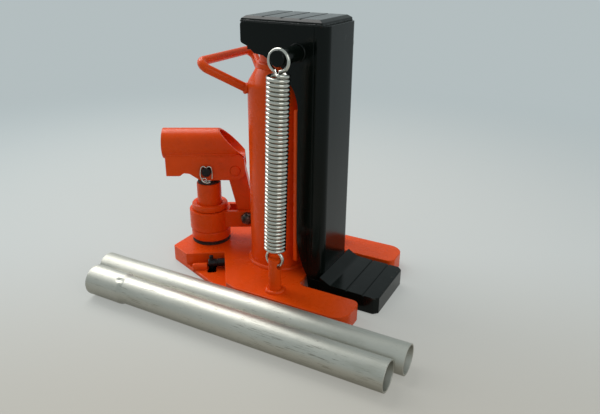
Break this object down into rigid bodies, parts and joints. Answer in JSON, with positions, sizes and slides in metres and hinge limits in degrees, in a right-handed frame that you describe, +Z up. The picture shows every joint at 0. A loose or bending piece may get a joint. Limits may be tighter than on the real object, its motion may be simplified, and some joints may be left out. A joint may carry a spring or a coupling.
{
  "type": "toe jack",
  "caption": "Hydraulic toe jack: upright ram and sliding carriage with a low lifting toe and a top pad, return springs, a swivelling lever pump, a carrying handle and loose lever tubes.",
  "frame": {"origin": "ram axis where it meets the ground, at the underside of the base plate", "axes": "+Z up along the ram, +X towards the lifting toe and away from the pump, +Y to the left of the toe"},
  "size_m": [0.301, 0.207, 0.2444],
  "materials": {
    "red_paint": "gloss",
    "black_paint": "gloss",
    "zinc": "bright zinc",
    "steel": "ground",
    "blackened": "blackened",
    "rubber": "matt"
  },
  "bodies": {
    "base": {"base_plate": "red_paint", "cylinder_body": "red_paint", "wiper_ring": "red_paint", "guide_rail": "red_paint", "carrying_handle": "red_paint", "spring_post_right": "red_paint", "spring_post_left": "red_paint", "pump_body": "red_paint", "pump_gasket": "rubber", "retaining_collar": "red_paint", "barrel_wiper": "rubber", "return_spring_right": "zinc", "return_spring_left": "zinc"},
    "carriage": {"front_plate": "black_paint", "side_plate_right": "black_paint", "side_plate_left": "black_paint", "head_block": "black_paint", "top_pad": "black_paint", "toe_plate": "black_paint", "guide_shoe_right": "black_paint", "guide_shoe_left": "black_paint", "spring_pin_right": "black_paint", "spring_pin_left": "black_paint", "ram": "steel", "ram_piston": "steel", "piston_seal": "rubber"},
    "pump_swivel": {"clamp_ring": "red_paint", "link_bolt": "zinc", "link_nut": "zinc"},
    "link": {"link_plate": "red_paint"},
    "lever_socket": {"socket_tube": "red_paint", "socket_cheek_right": "red_paint", "socket_cheek_left": "red_paint", "fulcrum_pin": "red_paint", "plunger_pin": "blackened"},
    "pump_plunger": {"plunger": "steel", "plunger_seal": "rubber"},
    "release_valve": {"valve_stem": "blackened", "valve_cross_pin": "blackened"},
    "front_tube": {"lever_tube_front": "zinc"},
    "rear_tube": {"lever_tube_rear": "zinc"}
  },
  "joints": [
    {"name": "lift", "type": "slide", "parent": "base", "child": "carriage", "axis": [0, 0, 1], "range_m": [0, 0.11], "stiffness_N_per_m": 400, "springref_m": -0.02, "deforming": ["return_spring_right", "return_spring_left"]},
    {"name": "pump_turn", "type": "hinge", "parent": "base", "child": "pump_swivel", "pos_m": [-0.0834, 0, 0.044], "axis": [0, 0, 1], "range_deg": [-60, 60]},
    {"name": "link_swing", "type": "hinge", "parent": "pump_swivel", "child": "link", "pos_m": [-0.05006, 0.01925, 0.044], "axis": [-0.5, 0.866, 0], "range_deg": [-6, 2]},
    {"name": "lever_pivot", "type": "hinge", "parent": "link", "child": "lever_socket", "pos_m": [-0.05915, 0.014, 0.094], "axis": [-0.5, 0.866, 0], "range_deg": [-4.58, 41.22]},
    {"name": "plunger_stroke", "type": "slide", "parent": "pump_swivel", "child": "pump_plunger", "axis": [0, 0, 1], "range_m": [-0.002, 0.0165]},
    {"name": "valve_turn", "type": "hinge", "parent": "base", "child": "release_valve", "pos_m": [-0.04706, -0.02917, 0.0098], "axis": [0.809, 0.5878, 0], "range_deg": [0, 90]},
    {"name": "front_tube_lift", "type": "slide", "parent": "base", "child": "front_tube", "axis": [0, 0, 1], "range_m": [0, 0.3]},
    {"name": "rear_tube_lift", "type": "slide", "parent": "base", "child": "rear_tube", "axis": [0, 0, 1], "range_m": [0, 0.3]}
  ],
  "couplings": [
    {"joint": "link_swing", "follows": "lever_pivot", "ratio": -0.12664},
    {"joint": "plunger_stroke", "follows": "lever_pivot", "m_per_rad": 0.021945}
  ]
}
